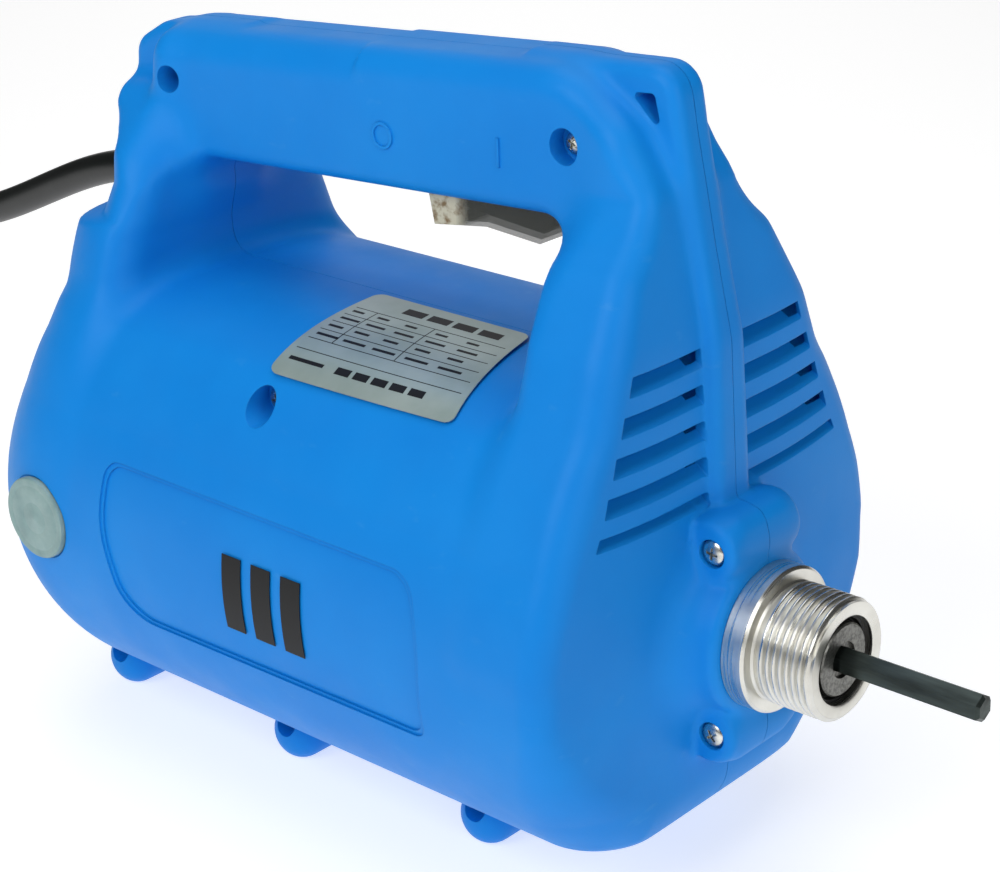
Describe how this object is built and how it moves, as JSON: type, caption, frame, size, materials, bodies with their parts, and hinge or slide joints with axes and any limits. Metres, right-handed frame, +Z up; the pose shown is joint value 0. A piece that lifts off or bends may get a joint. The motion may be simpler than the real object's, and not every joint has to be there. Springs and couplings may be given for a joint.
{
  "type": "concrete vibrator drive unit",
  "caption": "Electric drive unit for a concrete vibrator: motor in a handled two-part casing with a threaded coupling nose and a hexagonal drive shaft.",
  "frame": {"origin": "on the drive axis at the front shoulder of the nose flange, where the coupling thread starts", "axes": "+X forward along the drive axis and out of the nose, +Z up, +Y to the unit's right; the half shells meet on y = 0"},
  "size_m": [0.4708, 0.178, 0.271],
  "materials": {
    "casing": "fine moulded texture, satin",
    "zinc_steel": "zinc plated",
    "nose_aluminium": "turned, bright",
    "seal_rubber": "moulded",
    "spring_steel": "oiled",
    "bearing_steel": "ground",
    "socket_steel": "turned, oiled",
    "hex_steel": "drawn bar, dark oil finish",
    "lamination_steel": "varnished laminations",
    "winding_copper": "enamelled copper",
    "fan_plastic": "glass filled nylon",
    "brass": "pressed",
    "carbon": "sintered carbon",
    "cap_plastic": "translucent grey",
    "switch_plastic": "black moulded",
    "boot_clear": "clear flexible PVC, soiled",
    "cable_rubber": "heavy duty rubber sheath",
    "lead_insulation": "PVC insulation",
    "capacitor_plastic": "moulded",
    "plate_foil": "printed foil, satin",
    "badge_print": "screen print film"
  },
  "bodies": {
    "housing": {"left_shell": "casing", "right_shell": "casing", "casing_screws": "zinc_steel", "clamp_screws": "zinc_steel", "coupling_nose": "nose_aluminium", "nose_seal": "seal_rubber", "rear_bearing_sleeve": "seal_rubber", "cable_grommet": "seal_rubber", "bearing_circlip": "spring_steel", "brush_spring_left": "spring_steel", "brush_spring_right": "spring_steel", "front_bearing_outer": "bearing_steel", "rear_bearing_outer": "bearing_steel", "field_stack": "lamination_steel", "field_coils": "winding_copper", "fan_baffle": "fan_plastic", "brush_holder_left": "brass", "brush_holder_right": "brass", "switch_terminals": "brass", "switch_body": "switch_plastic", "cable_clamp": "switch_plastic", "switch_boot": "boot_clear", "power_cable": "cable_rubber", "wiring_leads": "lead_insulation", "suppression_capacitor": "capacitor_plastic", "data_plate": "plate_foil", "side_badge_left": "badge_print", "side_badge_right": "badge_print"},
    "rotor": {"armature_shaft": "socket_steel", "armature_core": "lamination_steel", "armature_windings": "winding_copper", "commutator": "winding_copper", "cooling_fan": "fan_plastic", "front_bearing_inner": "bearing_steel", "rear_bearing_inner": "bearing_steel", "drive_socket": "socket_steel", "hex_drive_shaft": "hex_steel"},
    "front_ball_set": {"front_bearing_balls": "bearing_steel", "front_bearing_cage": "bearing_steel"},
    "rear_ball_set": {"rear_bearing_balls": "bearing_steel", "rear_bearing_cage": "bearing_steel"},
    "brush_left": {"carbon_brush_left": "carbon"},
    "brush_right": {"carbon_brush_right": "carbon"},
    "cap_left": {"brush_cap_left": "cap_plastic"},
    "cap_right": {"brush_cap_right": "cap_plastic"},
    "rocker": {"switch_rocker": "switch_plastic"}
  },
  "joints": [
    {"name": "shaft_spin", "type": "hinge", "parent": "housing", "child": "rotor", "pos_m": [0, 0, 0], "axis": [1, 0, 0], "continuous": true},
    {"name": "front_cage_spin", "type": "hinge", "parent": "housing", "child": "front_ball_set", "pos_m": [0, 0, 0], "axis": [1, 0, 0], "continuous": true},
    {"name": "rear_cage_spin", "type": "hinge", "parent": "housing", "child": "rear_ball_set", "pos_m": [0, 0, 0], "axis": [1, 0, 0], "continuous": true},
    {"name": "rocker_tilt", "type": "hinge", "parent": "housing", "child": "rocker", "pos_m": [-0.109, 0, 0.131], "axis": [0, -1, 0], "range_deg": [0, 14]},
    {"name": "brush_left_slide", "type": "slide", "parent": "housing", "child": "brush_left", "axis": [0, -1, 0], "range_m": [0, 0.006], "stiffness_N_per_m": 400, "springref_m": -0.01, "deforming": ["brush_spring_left"]},
    {"name": "cap_left_pull", "type": "slide", "parent": "housing", "child": "cap_left", "axis": [0, -1, 0], "range_m": [0, 0.025]},
    {"name": "brush_right_slide", "type": "slide", "parent": "housing", "child": "brush_right", "axis": [0, 1, 0], "range_m": [0, 0.006], "stiffness_N_per_m": 400, "springref_m": -0.01, "deforming": ["brush_spring_right"]},
    {"name": "cap_right_pull", "type": "slide", "parent": "housing", "child": "cap_right", "axis": [0, 1, 0], "range_m": [0, 0.025]}
  ],
  "couplings": [
    {"joint": "front_cage_spin", "follows": "shaft_spin", "ratio": 0.3818},
    {"joint": "rear_cage_spin", "follows": "shaft_spin", "ratio": 0.365}
  ]
}
